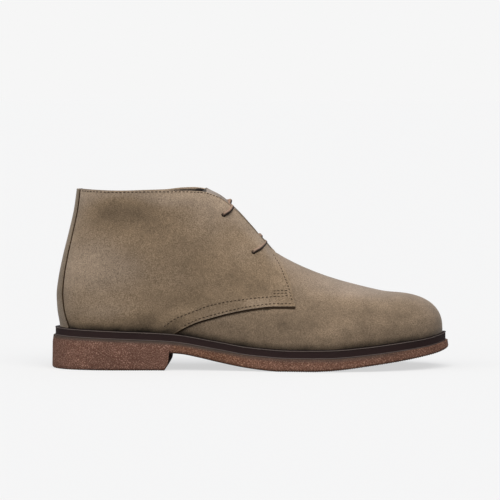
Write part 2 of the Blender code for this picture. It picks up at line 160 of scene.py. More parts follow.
def lastPoint(side, s, up):
    rib = ribAt(max(min(s, toeTip), heelStart))
    height, half = ribShape(rib, min(max(up, 0), 1))
    if s >= heelStart:
        y = mix(rib["footY"], rib["topY"], height) + side * half
        return Vector((min(s, toeTip), y, mix(rib["foot"], rib["top"], height)))
    angle = min((heelStart - s) / last["heelRun"], 1) * math.pi / 2
    reach = math.sin(angle) ** (2 / last["heelFullness"])
    foot = mix(heelStart, featherBack, reach)
    z = mix(seat(foot) + last["gap"], rib["top"] + last["heelRise"] * reach ** 2, height)
    closed = max(math.cos(angle), 0) ** (2 / last["heelFullness"])
    return Vector((mix(heelStart, heelBack(z), reach), side * half * closed, z))


def sideNormal(side, s, up):
    along = lastPoint(side, s + 0.2, up) - lastPoint(side, s - 0.2, up)
    rise = lastPoint(side, s, min(up + 0.004, 1)) - lastPoint(side, s, max(up - 0.004, 0))
    return (along.cross(rise) * -side).normalized()


def lastNormal(side, s, up):
    # where the two sides meet, at the toe and the heel, they share one normal
    if heelEnd < s < toeTip:
        return sideNormal(side, s, up)
    return (sideNormal(lateral, s, up) + sideNormal(medial, s, up)).normalized()


def upAt(side, s, z):
    # how far up the rib at station s the height z is
    low, high = 0, 1
    for _ in range(26):
        middle = (low + high) / 2
        if lastPoint(side, s, middle).z < z:
            low = middle
        else:
            high = middle
    return (low + high) / 2


def lifted(side, s, up, lift):
    return lastPoint(side, s, up) + lastNormal(side, s, up) * lift


toeFrom = 80      # in front of it the stations close up towards the toe's tip


def toeStations(count):
    return [mix(toeFrom, toeTip, math.cos(i / count * math.pi / 2)) for i in range(count)]


def spread(start, end, count):
    return [mix(start, end, i / count) for i in range(count)]


# Blender work that every piece shares
def onlySelect(piece):
    bpy.ops.object.select_all(action="DESELECT")
    piece.select_set(True)
    bpy.context.view_layer.objects.active = piece


def editing(piece, kind, action, *steps):
    # runs steps in edit mode, with everything or nothing selected before them
    onlySelect(piece)
    bpy.ops.object.mode_set(mode="EDIT")
    bpy.ops.mesh.select_mode(type=kind)
    bpy.ops.mesh.select_all(action=action)
    for step in steps:
        step()
    bpy.ops.object.mode_set(mode="OBJECT")


def layOut(name, columns, rows, place):
    # a grid whose corner (i, j) is moved to place(i, j), in millimetres
    bpy.ops.mesh.primitive_grid_add(x_subdivisions=columns, y_subdivisions=rows, size=1)
    piece = bpy.context.object
    piece.name = piece.data.name = name
    for vert in piece.data.vertices:
        i, j = round((vert.co.x + 0.5) * columns), round((vert.co.y + 0.5) * rows)
        vert.co = place(i, j) * mm
    return piece


def closeSeams(piece, distance=0.004):
    editing(piece, "VERT", "SELECT", lambda: bpy.ops.mesh.remove_doubles(threshold=distance * mm),
            bpy.ops.mesh.normals_make_consistent)


def turnOut(piece, away):
    # flips a sheet unless most of its faces look this way
    if sum(face.normal.dot(away) * face.area for face in piece.data.polygons) < 0:
        editing(piece, "FACE", "SELECT", bpy.ops.mesh.flip_normals)


def applied(piece, kind, **settings):
    modifier = piece.modifiers.new(kind.lower(), kind)
    for name, value in settings.items():
        setattr(modifier, name, value)
    onlySelect(piece)
    bpy.ops.object.modifier_apply(modifier=modifier.name)


def paint(piece, layer, value):
    # a number for every corner, from its place in millimetres
    values = [value(vert.co / mm) for vert in piece.data.vertices]
    piece.data.attributes.new(layer, "FLOAT", "POINT").data.foreach_set("value", values)


def dress(piece, slot, *finishes, angle=60):
    onlySelect(piece)
    bpy.ops.object.shade_smooth_by_angle(angle=math.radians(angle))
    for look in finishes:
        piece.data.materials.append(look)
    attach(piece, "root")


# Finishes
def node(tree, kind, sockets=None, **settings):
    made = tree.nodes.new("ShaderNode" + kind)
    for name, value in settings.items():
        setattr(made, name, value)
    for key, value in (sockets or {}).items():
        if isinstance(value, bpy.types.NodeSocket):
            tree.links.new(value, made.inputs[key])
        else:
            made.inputs[key].default_value = value
    return made


def newGroup(name, **inputs):
    # every group gives a colour, a roughness and a height
    group = bpy.data.node_groups.new(name, "ShaderNodeTree")
    for label, value in inputs.items():
        kind = "NodeSocketColor" if isinstance(value, tuple) else "NodeSocketFloat"
        group.interface.new_socket(label, in_out="INPUT", socket_type=kind).default_value = value
    for label, kind in (("Color", "Color"), ("Roughness", "Float"), ("Height", "Float")):
        group.interface.new_socket(label, in_out="OUTPUT", socket_type="NodeSocket" + kind)
    return group, group.nodes.new("NodeGroupInput").outputs


def give(group, **values):
    out = group.nodes.new("NodeGroupOutput").inputs
    for label, value in values.items():
        group.links.new(value, out[label])
    return group


def placeOf(tree):
    return node(tree, "TexCoord").outputs["Object"]


def cloth(tree, scale, detail=3, stretch=(1, 1, 1), distortion=0, offset=0):
    # noise on the piece's own place; the scale is per metre
    where = node(tree, "Mapping", {"Vector": placeOf(tree), "Scale": stretch, "Location": (offset,) * 3})
    return node(tree, "TexNoise", {"Vector": where.outputs[0], "Scale": scale, "Detail": detail,
                                   "Roughness": 0.55, "Distortion": distortion}).outputs["Fac"]


def calc(tree, operation, *values):
    return node(tree, "Math", dict(enumerate(values)), operation=operation).outputs[0]


def blendColour(tree, share, a, b):
    return node(tree, "Mix", {0: share, 6: a, 7: b}, data_type="RGBA").outputs[2]


def between(tree, value, low, high, first=0, second=1):
    sockets = {0: value, 1: low, 2: high, 3: first, 4: second}
    return node(tree, "MapRange", sockets, interpolation_type="SMOOTHSTEP").outputs[0]


def tinted(tree, colour, tint, operation="MULTIPLY"):
    return node(tree, "VectorMath", {0: colour, 1: tint}, operation=operation).outputs[0]


def scaled(tree, colour, amount):
    return node(tree, "VectorMath", {"Vector": colour, "Scale": amount}, operation="SCALE").outputs[0]


nap = dict(clouds=24, blotches=80, brushed=480, fibres=1250, pale=(0.96, 1.02, 1.16))


def suedeNapGroup():
    tree, given = newGroup("suedeNap", Color=(0.2, 0.15, 0.1, 1), Tone=0, Mottle=0.3, Grain=0.2)
    clouds = cloth(tree, nap["clouds"], 2, distortion=0.4)
    blotches = cloth(tree, nap["blotches"], 2, stretch=(1, 1, 1.5), distortion=0.5, offset=0.3)
    brushed = cloth(tree, nap["brushed"], stretch=(1, 1, 0.6), offset=0.7)
    fibres = cloth(tree, nap["fibres"], 2, offset=0.2)
    broad = calc(tree, "MULTIPLY_ADD", clouds, 0.55, calc(tree, "MULTIPLY", blotches, 0.45))
    fine = calc(tree, "MULTIPLY_ADD", brushed, 0.2, calc(tree, "MULTIPLY", fibres, 0.8))
    level = calc(tree, "MULTIPLY_ADD", calc(tree, "SUBTRACT", broad, 0.5), given["Mottle"],
                 calc(tree, "ADD", given["Tone"], 1))
    fleck = calc(tree, "SUBTRACT", fine, 0.5)
    level = calc(tree, "MULTIPLY", level, calc(tree, "MULTIPLY_ADD", fleck, given["Grain"], 1))
    # where the tone and the fibres are lighter the colour turns paler and bluer: painted sky sheen on the lit
    # parts, and the nap's paler fibres
    paleSheenShare = between(tree, calc(tree, "MULTIPLY_ADD", fleck, 0.7, given["Tone"]), -0.1, 0.45)
    colour = blendColour(tree, paleSheenShare, given["Color"], tinted(tree, given["Color"], nap["pale"]))
    return give(tree, Color=scaled(tree, colour, level),
                Roughness=between(tree, brushed, 0.2, 0.8, 0.84, 0.98),
                Height=calc(tree, "MULTIPLY_ADD", blotches, 0.35, fine))


crumb = dict(bend=260, bendBy=(0.004,) * 3, specks=1350, broad=45, pit=0.28, speck=(0.48, 0.68),
             warm=(0.96, 0.9, 0.76))


def crinkleGroup():
    # crepe-like rubber: small wrinkled cells with pale specks and dark pits
    tree, given = newGroup(
        "crinkle", Color=(0.13, 0.07, 0.05, 1), Speck=(0.3, 0.2, 0.15, 1), Pit=(0.04, 0.02, 0.015, 1),
        Dust=(0.1, 0.07, 0.05, 1), Dusty=0, Warm=0, Scale=600)
    where = placeOf(tree)
    bent = node(tree, "TexNoise", {"Vector": where, "Scale": crumb["bend"], "Detail": 2}).outputs["Color"]
    bent = tinted(tree, where, tinted(tree, bent, crumb["bendBy"]), "ADD")
    cells = node(tree, "TexVoronoi", {"Vector": bent, "Scale": given["Scale"]}, feature="DISTANCE_TO_EDGE")
    specks = cloth(tree, crumb["specks"], 2, offset=0.5)
    broad = cloth(tree, crumb["broad"], offset=0.1)
    unpitted = between(tree, cells.outputs["Distance"], 0, crumb["pit"])
    colour = blendColour(tree, unpitted, given["Pit"], given["Color"])
    colour = blendColour(tree, between(tree, specks, *crumb["speck"]), colour, given["Speck"])
    colour = blendColour(tree, given["Warm"], colour, tinted(tree, colour, crumb["warm"]))
    # dust and painted shade under the welt
    colour = blendColour(tree, given["Dusty"], colour, given["Dust"])
    return give(tree, Color=scaled(tree, colour, between(tree, broad, 0.3, 0.7, 0.9, 1.1)),
                Roughness=between(tree, specks, 0.3, 0.7, 0.92, 0.7),
                Height=calc(tree, "MULTIPLY_ADD", specks, 0.6, unpitted))


def poresGroup():
    # smooth leather or rubber: shallow pores and creased patches
    tree, given = newGroup("pores", Color=(0.3, 0.2, 0.13, 1), Scale=700)
    pores = node(tree, "TexVoronoi", {"Vector": placeOf(tree), "Scale": given["Scale"]}).outputs["Distance"]
    patches = cloth(tree, 60, 5, distortion=0.6)
    level = calc(tree, "MULTIPLY_ADD", patches, 0.36, calc(tree, "MULTIPLY_ADD", pores, 0.12, 0.76))
    return give(tree, Color=scaled(tree, given["Color"], level),
                Roughness=between(tree, patches, 0.3, 0.7, 0.5, 0.68),
                Height=calc(tree, "MULTIPLY_ADD", patches, 0.8, pores))


groups = dict(suedeNap=suedeNapGroup(), crinkle=crinkleGroup(), pores=poresGroup())

colours = dict(
    suede=(0.25, 0.177, 0.111), vamp=(0.248, 0.179, 0.118), strip=(0.23, 0.17, 0.112),
    tongue=(0.29, 0.24, 0.2), edge=(0.04, 0.024, 0.013), thread=(0.05, 0.032, 0.02),
    lining=(0.03, 0.021, 0.016), sock=(0.25, 0.175, 0.115), lace=(0.345, 0.232, 0.168),
    welt=(0.025, 0.0125, 0.0115), lip=(0.125, 0.097, 0.084),
    rubber=(0.192, 0.088, 0.058), speck=(0.42, 0.235, 0.168), pit=(0.115, 0.052, 0.035),
    dustShadeColour=(0.085, 0.058, 0.045))


def layerOf(name):
    return lambda tree: node(tree, "Attribute", attribute_name=name).outputs["Fac"]


def material(name, values):
    # a Principled material with plain values on its shader
    made = bpy.data.materials.new(name)
    made.use_nodes = True
    shader = made.node_tree.nodes["Principled BSDF"].inputs
    for key, value in values.items():
        shader[key].default_value = value
    return made, made.node_tree, shader


def finish(name, base, colour, bump=0.0002, strength=0.5, shine=0.5, sheen={}, **given):
    # a material fed by one group
    made, tree, shader = material(name, {"Specular IOR Level": shine, **sheen})
    effect = node(tree, "Group", node_tree=groups[base])
    for key, value in dict(given, Color=colours[colour]).items():
        if callable(value):
            tree.links.new(value(tree), effect.inputs[key])
        else:
            effect.inputs[key].default_value = value + (1,) if isinstance(value, tuple) else value
    raised = node(tree, "Bump", {"Strength": strength, "Distance": bump, "Height": effect.outputs["Height"]})
    tree.links.new(effect.outputs["Color"], shader["Base Color"])
    tree.links.new(effect.outputs["Roughness"], shader["Roughness"])
    tree.links.new(raised.outputs[0], shader["Normal"])
    return made


def suede(name, colour, grain=2.1):
    sheen = {"Sheen Weight": 0.26, "Sheen Roughness": 0.45, "Sheen Tint": (0.97, 0.92, 0.87, 1)}
    return finish(name, "suedeNap", colour, bump=0.0004, strength=0.45, shine=0.15, sheen=sheen,
                  Tone=layerOf("toneAndShading"), Mottle=1.2, Grain=grain)


suedeFinish = suede("suede", "suede")
vampFinish = suede("suedeVamp", "vamp")
stripFinish = suede("suedeStrip", "strip")
tongueFinish = suede("suedeTongue", "tongue", grain=1.2)
edgeFinish = finish("darkEdgeAndShadow", "suedeNap", "edge", bump=0.0004, strength=0.6, shine=0.1, Mottle=0.4, Grain=1)
# the lining is dark leather made near black: painted shade of the boot's inside
liningFinish = finish("liningLeatherAndShade", "pores", "lining")
sockFinish = finish("sockLeather", "pores", "sock")
crepeFinish = finish(
    "crepeRubber", "crinkle", "rubber", bump=0.0003, strength=0.45, shine=0.3, Speck=colours["speck"],
    Pit=colours["pit"], Dust=colours["dustShadeColour"], Dusty=layerOf("dustAndShade"), Warm=layerOf("warm"), Scale=1500)
weltFinish = finish("weltRubber", "pores", "welt", shine=0.2, Scale=900)
lipFinish = finish("weltLip", "pores", "lip", shine=0.4, Scale=900)
threadFinish = finish("thread", "suedeNap", "thread", shine=0.3, Mottle=0.3, Grain=0.6)
laceFinish = finish(
    "laceCord", "suedeNap", "lace", shine=0.2, sheen={"Sheen Weight": 0.05}, Mottle=0.3, Grain=0.8,
    Tone=layerOf("toneAndShading"))
print("finishes made")


# Upper
wall = dict(
    suede=1.3, lining=1.15, over=1.45, rest=0.15, tuck=0.1, heelSink=0.5, heelSinkFrom=(108, 134),
    throatSink=1, throatFrom=(2, 14), throatDepth=(3, 10), overlap=(8, 18))
frontCut = (
    (33.7, 47.6), (31.6, 56.2), (29.4, 65.7), (25.7, 74.3), (23.5, 79.5), (19.8, 84.8), (17.7, 88.1))
lowerCut = (
    (33.7, 47.6), (16.2, 47.6), (1, 46), (-14.2, 43.2), (-29.4, 39.3), (-40.8, 35.8), (-48.4, 32.4),
    (-56.1, 27.9), (-60, 25))
frontX = steadyCurve(*list(zip(*frontCut))[::-1])
lowerZ = steadyCurve(*zip(*lowerCut[::-1]))

# soft shapes of worn-in suede: place (x, z), radii and height
softForms = (
    (-88, 116, 26, 13, -0.55), (-56, 108, 22, 11, -0.45), (-112, 84, 20, 26, 0.35), (-30, 96, 18, 16, 0.3),
    (-66, 70, 30, 16, -0.25), (58, 52, 14, 20, -0.3), (84, 50, 12, 16, 0.25), (106, 46, 12, 14, -0.2))
# darker and lighter patches, partly the nap's mottling and partly painted light and shade: place, radii,
# change of tone
napAndShadeClouds = (
    (-98, 120, 26, 12, -0.4), (-70, 106, 20, 12, -0.14), (-119, 79, 23, 19, 0.5), (-90, 75, 14, 12, 0.18),
    (-112, 62, 30, 22, 0.08), (-126, 122, 14, 14, 0.26), (-28, 116, 26, 16, 0.26), (-46, 132, 26, 6, 0.4),
    (-104, 133, 40, 5, 0.1), (-56, 66, 18, 14, 0.06), (-36, 79, 11, 8, -0.14), (-4, 88, 12, 8, 0.12),
    (-10, 70, 22, 10, -0.06), (2, 60, 14, 8, -0.24), (6, 51, 14, 5, 0.32), (-26, 42, 20, 6, 0.14),
    (-44, 53, 16, 8, -0.16), (-110, 42, 28, 8, 0.26), (-78, 35, 22, 8, -0.22), (22, 36, 26, 9, -0.32),
    (48, 38, 20, 8, -0.14), (84, 45, 34, 8, -0.18), (112, 44, 14, 9, -0.14), (68, 32, 20, 7, 0.06),
    (118, 34, 14, 8, 0.06), (66, 63, 40, 7, 0.18), (88, 58, 26, 5, 0.18), (135, 46, 9, 12, 0.1),
    (-68, 124, 16, 7, 0.16), (-34, 121, 10, 8, 0.06), (-113, 80, 16, 13, 0.06), (-138, 60, 8, 24, 0.16))
# painted shade and light in the tone: shade above the welt and low down, highlights along the quarter's lower
# edge and at the crest, a dark line along the facing edge
shading = dict(
    welt=0.62, weltDepth=6.5, low=0.16, lowDepth=(2, 24), hem=0.32, hemFrom=(-58, 33),
    crest=(0.38, 0.16), crestDepth=17, facing=0.9, facingFrom=(-24, 16), darkest=-0.9)


def bumpsAt(forms, point):
    total = 0
    for x, z, wide, tall, amount in forms:
        away = ((point.x - x) / wide) ** 2 + ((point.z - z) / tall) ** 2
        if away < 6:
            total += amount * math.exp(-away)
    return total


def toLine(line, x, z):
    nearest = 1e9
    for (ax, az), (bx, bz) in zip(line, line[1:]):
        dx, dz = bx - ax, bz - az
        t = min(max(((x - ax) * dx + (z - az) * dz) / (dx * dx + dz * dz), 0), 1)
        nearest = min(nearest, math.hypot(x - ax - t * dx, z - az - t * dz))
    return nearest


def insideQuarter(x, z):
    # distance inside the quarter's front and lower edges, 0 outside them
    if z < lowerZ(x) or x > frontX(z):
        return 0
    return min(toLine(frontCut, x, z), toLine(lowerCut, x, z))


def throatSink(point):
    # the overlap is pared thin at the foot of the throat
    below = section["top"](point.x) - point.z
    return wall["throatSink"] * eased(point.x, *wall["throatFrom"]) * (1 - eased(below, *wall["throatDepth"]))


def overVamp(point, inside):
    # the quarter lies on the vamp, then comes down to the lining
    return mix(wall["over"], wall["rest"], eased(inside, *wall["overlap"])) - throatSink(point)


def quarterLift(point):
    inside = insideQuarter(point.x, point.z)
    lift = overVamp(point, inside) - wall["heelSink"] * eased(-point.x, *wall["heelSinkFrom"])
    return lift + bumpsAt(softForms, point) * eased(inside, 2, 16)


# the inner side's collar is a little lower at the back and higher at its front corner
collarShift = steadyCurve((-90, -66, -52, -38, -24, -8, 10), (-1.3, -0.7, 0.9, 1.6, 1.3, 0.3, 0))


def collarRaise(side, s, up):
    rise = collarShift(s) * eased(up, 0.55, 1) * eased(s, heelEnd, -100) if side == medial else 0
    return Vector((0, 0, rise))


def onQuarter(side, s, up):
    return lifted(side, s, up, quarterLift(lastPoint(side, s, up))) + collarRaise(side, s, up)


quarter = dict(columns=116, rows=50, parts=(0, 0.3, 0.68, 1))
alongTop = steadyCurve(quarter["parts"], (throatBase, last["facingTop"], heelStart, heelEnd))
alongFoot = steadyCurve(quarter["parts"], (lowerCut[0][0], -24, heelStart, heelEnd))


def makeQuarter(side, word):
    @cache
    def foot(u):
        s = alongFoot(u)
        return Vector((s, upAt(side, s, lowerZ(s)) if s > lowerCut[-1][0] else 0))

    @cache
    def front(v):
        z = mix(frontCut[0][1], frontCut[-1][1], v)
        return Vector((frontX(z), 1 if v == 1 else upAt(side, frontX(z), z)))

    def place(i, j):
        # the sheet is stretched between its four edges, in stations and shares of the rib
        u, v = i / quarter["columns"], j / quarter["rows"]
        across = foot(u) * (1 - v) + Vector((alongTop(u), 1)) * v
        corners = (foot(0) * (1 - u) + foot(1) * u) * (1 - v)
        corners += (Vector((alongTop(0), 1)) * (1 - u) + Vector((heelEnd, 1)) * u) * v
        spot = across + front(v) * (1 - u) + Vector((heelEnd, v)) * u - corners
        return onQuarter(side, spot.x, min(max(spot.y, 0), 1))

    return layOut(f"quarter_{word}", quarter["columns"], quarter["rows"], place)


def thicken(piece, thickness, even=True):
    # wall towards the inside
    applied(piece, "SOLIDIFY", thickness=thickness * mm, offset=-1, use_even_offset=even,
            edge_crease_outer=0.35, edge_crease_inner=0.35)
    applied(piece, "SUBSURF", levels=1, render_levels=1)


def toneAndShading(point):
    # patches of the nap with painted light and shade, painted shade towards the welt and low down, painted
    # highlights along the quarter's lower edge and at the crest, and darker along the facing edge
    x, z, change = point.x, point.z, bumpsAt(napAndShadeClouds, point)
    height, below, hem = z - seat(x), section["top"](x) - z, z - lowerZ(x)
    change -= shading["welt"] * (1 - eased(height, 0, shading["weltDepth"]))
    change -= shading["low"] * (1 - eased(height, *shading["lowDepth"]))
    change += mix(*shading["crest"], eased(x, 0, 60)) * (1 - eased(below, 0, shading["crestDepth"]))
    if hem > -0.3 and shading["hemFrom"][0] < x < shading["hemFrom"][1]:
        change += shading["hem"] * (1 - eased(hem, 0.2, 1.7))
    if shading["facingFrom"][0] < x < shading["facingFrom"][1]:
        change -= shading["facing"] * (1 - eased(below, 0.2, 1.2))
    return max(change, shading["darkest"])


eyelets = dict(hole=3.3, punch=14, rows=(
    dict(word="top", x=-20.4, z=115.6, crossing=-13.7, far=-17, crown=-16.8),
    dict(word="low", x=2, z=87.7, crossing=11.5, far=7.2, crown=7.8)))


def eyeAt(side, row):
    up = upAt(side, row["x"], row["z"])
    return lastPoint(side, row["x"], up), lastNormal(side, row["x"], up)


def punchHoles(piece, *sides):
    for place, away in [eyeAt(side, row) for side in sides for row in eyelets["rows"]]:
        bpy.ops.mesh.primitive_cylinder_add(
            vertices=24, radius=eyelets["hole"] / 2 * mm, depth=eyelets["punch"] * mm)
        punch = bpy.context.object
        turn = away.to_track_quat("Z", "Y").to_matrix().to_4x4()
        punch.data.transform(Matrix.Translation(place * mm) @ turn)
        applied(piece, "BOOLEAN", operation="DIFFERENCE", solver="EXACT", object=punch)
        bpy.data.objects.remove(punch, do_unlink=True)


for side, word in bothSides:
    piece = makeQuarter(side, word)
    turnOut(piece, (0, side, 0))
    thicken(piece, wall["suede"])
    paint(piece, "toneAndShading", toneAndShading)
    punchHoles(piece, side)
    dress(piece, "suede_upper", suedeFinish)
    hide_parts("upper")
print("quarters made")


vamp = dict(toe=34, dome=30, wings=34, ribs=28, back=-62, tuckUnder=7, wingRun=9, sink=0.05)
vampStations = toeStations(vamp["toe"]) + spread(toeFrom, throatBase, vamp["dome"])
vampStations += spread(throatBase, vamp["back"], vamp["wings"]) + [vamp["back"]]
throatColumn = vamp["toe"] + vamp["dome"]


def vampLift(point):
    inside = insideQuarter(point.x, point.z)
    if inside > 0:
        return overVamp(point, inside) - wall["suede"] - wall["tuck"]
    return bumpsAt(softForms, point) - vamp["sink"]


@cache
def wingTop(side, s):
    # share of the rib that the vamp's wing reaches under the quarter
    under = upAt(side, s, max(lowerZ(s), seat(s)) + vamp["tuckUnder"])
    return mix(1, under, eased(throatBase - s, 0, vamp["wingRun"]))


def vampPlace(i, j):
    ribs, s = vamp["ribs"], vampStations[i]
    side, up = (lateral, j / ribs) if j <= ribs else (medial, (2 * ribs - j) / ribs)
    if i > throatColumn:
        up *= wingTop(side, s)
    return lifted(side, s, up, vampLift(lastPoint(side, s, up)))


piece = layOut("vamp", len(vampStations) - 1, 2 * vamp["ribs"], vampPlace)
# the strip of faces each side of the ridge is open behind the throat
editing(piece, "FACE", "DESELECT")
for face in piece.data.polygons:
    spots = [divmod(v, len(vampStations)) for v in face.vertices]
    face.select = any(row == vamp["ribs"] and column > throatColumn for row, column in spots)
bpy.ops.object.mode_set(mode="EDIT")
bpy.ops.mesh.delete(type="FACE")
bpy.ops.object.mode_set(mode="OBJECT")
closeSeams(piece)
thicken(piece, wall["suede"], even=False)
paint(piece, "toneAndShading", toneAndShading)
dress(piece, "suede_upper", vampFinish)
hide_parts("upper")
print("vamp made")


backStrip = dict(
    columns=24, rows=64, half=steadyCurve((0, 0.16, 0.5, 1), (18.6, 16.8, 15, 13.8)),
    pale=0.25, paleBelow=(40, 62), layers=(
        dict(word="back_strip", wider=0, lift=0.42, thickness=0.75, look=stripFinish),
        dict(word="back_strip_edge", wider=0.9, lift=0.12, thickness=0.6, look=edgeFinish)))


def makeBackStrip(layer):
    # the strip and, under it, a wider dark edge layer that shows round it
    def place(i, j):
        across, up = 2 * i / backStrip["columns"] - 1, j / backStrip["rows"]
        side = lateral if across < 0 else medial
        height, half = ribShape(ribAt(heelStart), up)
        closed = min(abs(across) * (backStrip["half"](height) + layer["wider"]) / half, 1)
        angle = math.acos(closed ** (last["heelFullness"] / 2))
        s = heelStart - last["heelRun"] * angle / (math.pi / 2)
        return lifted(side, s, up, layer["lift"])

    piece = layOut(layer["word"], backStrip["columns"], backStrip["rows"], place)
    closeSeams(piece)
    turnOut(piece, (-1, 0, 0))
    thicken(piece, layer["thickness"])
    paint(piece, "toneAndShading", lambda point: backStrip["pale"] * (1 - eased(point.z, *backStrip["paleBelow"])))
    dress(piece, "suede_upper", layer["look"])
    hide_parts("upper")


for layer in backStrip["layers"]:
    makeBackStrip(layer)
print("back strip made")


# dark strip that shows under the quarters' lower edge: a painted shadow of the overlapping edge
edgeShadow = dict(steps=120, start=33.4, end=-58.6, below=1.15, above=1, lift=0.62, thickness=0.6)


def makeEdgeShadow(side, word):
    def place(i, j):
        x = mix(edgeShadow["start"], edgeShadow["end"], i / edgeShadow["steps"])
        z = lowerZ(x) + mix(-edgeShadow["below"], edgeShadow["above"], j / 2)
        return lifted(side, x, upAt(side, x, z), edgeShadow["lift"])

    piece = layOut(f"edge_shadow_{word}", edgeShadow["steps"], 2, place)
    turnOut(piece, (0, side, 0))
    applied(piece, "SOLIDIFY", thickness=edgeShadow["thickness"] * mm, offset=-1)
    dress(piece, "suede_upper", edgeFinish, angle=50)
    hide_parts("upper")


for side, word in bothSides:
    makeEdgeShadow(side, word)
print("edge shadows made")


lining = dict(
    lift=-1.2, toe=16, dome=18, facing=18, side=18, heel=14, rows=26, top=0.92, cornerTop=0.985,
    back=(-42, -39), front=(29, 31))
liningStations = toeStations(lining["toe"]) + spread(toeFrom, throatBase, lining["dome"])
liningStations += spread(throatBase, last["facingTop"], lining["facing"])
liningStations += spread(last["facingTop"], heelStart, lining["side"])
liningStations += spread(heelStart, heelEnd, lining["heel"]) + [heelEnd]
heelColumn = len(liningStations) - 1


def liningPlace(i, j):
    column = heelColumn - abs(i - heelColumn)
    side, s, up = (lateral if i <= heelColumn else medial), liningStations[column], j / lining["rows"]
    if s < throatBase:
        # it reaches the edge itself at the inner side's front corner, where its near-black colour is painted
        # shade of the inside
        near = eased(s, *lining["back"]) * eased(-s, *lining["front"]) if side == medial else 0
        up *= mix(lining["top"], lining["cornerTop"], near)
    return lifted(side, s, up, lining["lift"]) + collarRaise(side, s, up)


piece = layOut("lining", 2 * heelColumn, lining["rows"], liningPlace)
closeSeams(piece, 0.05)
applied(piece, "SOLIDIFY", thickness=wall["lining"] * mm, offset=-1)
punchHoles(piece, lateral, medial)
dress(piece, "lining_leather", liningFinish)
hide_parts("upper")
print("lining made")


# Tongue
tongue = dict(
    rows=64, tipRows=8, half=12, depth=3.6, thickness=1.9, flank=48, crownSteps=8, foot=30, head=-31,
    darkTip=(-34, -32.6), tip=dict(back=4, rise=2.2, narrow=0.14, droop=0.22))
tongueShape = curves((-31, -26, -20, -12, -4, 4, 11, 17.7, 24, 30), dict(
    halfWidth=(25.5, 26, 26, 25.5, 24.5, 23.5, 22.5, 21, 18, 14),
    crown=(0.36, 0.42, 0.46, 0.46, 0.44, 0.42, 0.4, 0, 0, 0)))


@cache
def tongueHalf(side, x):
    # from the tongue's crown down one flank, under the facing
    ups = [1 - i / tongue["flank"] for i in range(tongue["flank"] * 2 // 3)]
    flank = [lifted(side, x, up, -tongue["depth"]) for up in ups]
    edge, other = flank[0], lifted(-side, x, 1, -tongue["depth"])
    lean = (lastNormal(side, x, 1) + lastNormal(-side, x, 1)).normalized()
    middle, reach, crown = (edge + other) / 2, (edge - other).length / 2, tongueShape["crown"](x)
    if crown == 0 or reach < 0.5:
        flank = [p for p in flank if (p.y - middle.y) * side > 0]
        return [Vector((middle.x, middle.y, max(p.z for p in flank)))] + flank
    shares = [i / tongue["crownSteps"] for i in range(tongue["crownSteps"])]
    arch = [middle.lerp(edge, share) + lean * (crown * reach * (1 - share ** 2)) for share in shares]
    return arch + flank


def along(points, distance):
    # the point that far along a line
    for a, b in zip(points, points[1:]):
        run = (b - a).length
        if distance <= run:
            return a.lerp(b, distance / max(run, 1e-9))
        distance -= run
    return points[-1]


def tonguePlace(i, j):
    share = i / tongue["half"] - 1
    side, reach = (lateral if share < 0 else medial), abs(share)
    x = mix(tongue["foot"], tongue["head"], min(j / tongue["rows"], 1))
    point = along(tongueHalf(side, x), tongueShape["halfWidth"](x) * reach)
    if j > tongue["rows"]:
        t, tip = (j - tongue["rows"]) / tongue["tipRows"], tongue["tip"]
        point = Vector((point.x - tip["back"] * t, point.y * (1 - tip["narrow"] * t ** 2.2),
                        point.z + tip["rise"] * t * (1 - tip["droop"] * (reach * t) ** 4)))
    return point


piece = layOut("tongue_leaf", 2 * tongue["half"], tongue["rows"] + tongue["tipRows"], tonguePlace)
closeSeams(piece)
turnOut(piece, (1, 0, 0))
thicken(piece, tongue["thickness"])
# painted shadow at the tongue's tip, where it meets the dark inside between the collars
paint(piece, "toneAndShading", lambda point: shading["darkest"] * (1 - eased(point.x, *tongue["darkTip"])))
dress(piece, "suede_tongue", tongueFinish)
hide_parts("tongue")
print("tongue made")


# Soles
soles = dict(margin=4, toeTrim=1.5, toeTrimStart=108, middle=(-118, 118), gap=0.3)


def makeOutline(toe, side, heel):
    # the feather line as (point, outward direction, middle point), from the toe round the outer side
    stations = toeStations(toe) + spread(toeFrom, heelStart, side)
    stations += spread(heelStart, heelEnd, heel) + [heelEnd]
    ring = [lastPoint(lateral, s, 0).to_2d() for s in stations]
    ring += [lastPoint(medial, s, 0).to_2d() for s in stations[-2:0:-1]]
    made = []
    for i, point in enumerate(ring):
        run = (ring[(i + 1) % len(ring)] - ring[i - 1]).normalized()
        x = min(max(point.x, soles["middle"][0]), soles["middle"][1])
        made.append((point, Vector((-run.y, run.x)), Vector((x, sole["centre"](x)))))
    return made


def ringPoint(outline, i, offset, towards=0):
    point, away, middle = outline[i % len(outline)]
    offset = offset(point) if callable(offset) else offset
    if offset > 0:
        offset -= soles["toeTrim"] * eased(point.x, soles["toeTrimStart"], toeTip)
    return (point + away * offset).lerp(middle, towards)


def plate(name, outline, levels, lastStep=None):
    # closed plate from rows (offset, share of the way to the middle line, height at a point)
    def place(i, j):
        offset, towards, height = levels[j]
        spot = ringPoint(outline, i, offset, towards)
        point = Vector((spot.x, spot.y, height(spot)))
        return lastStep(point, i, j) if lastStep else point

    piece = layOut(name, len(outline), len(levels) - 1, place)
    closeSeams(piece, 0.01)
    return piece


coarseOutline = makeOutline(44, 112, 40)


def overSeat(rise=0):
    return lambda spot: seat(spot.x) + rise


def overFoot(rise=0):
    return lambda spot: seat(spot.x) - sole["strip"](spot.x) + rise


stripFoot, crepeTop = overFoot(), overFoot(-soles["gap"])

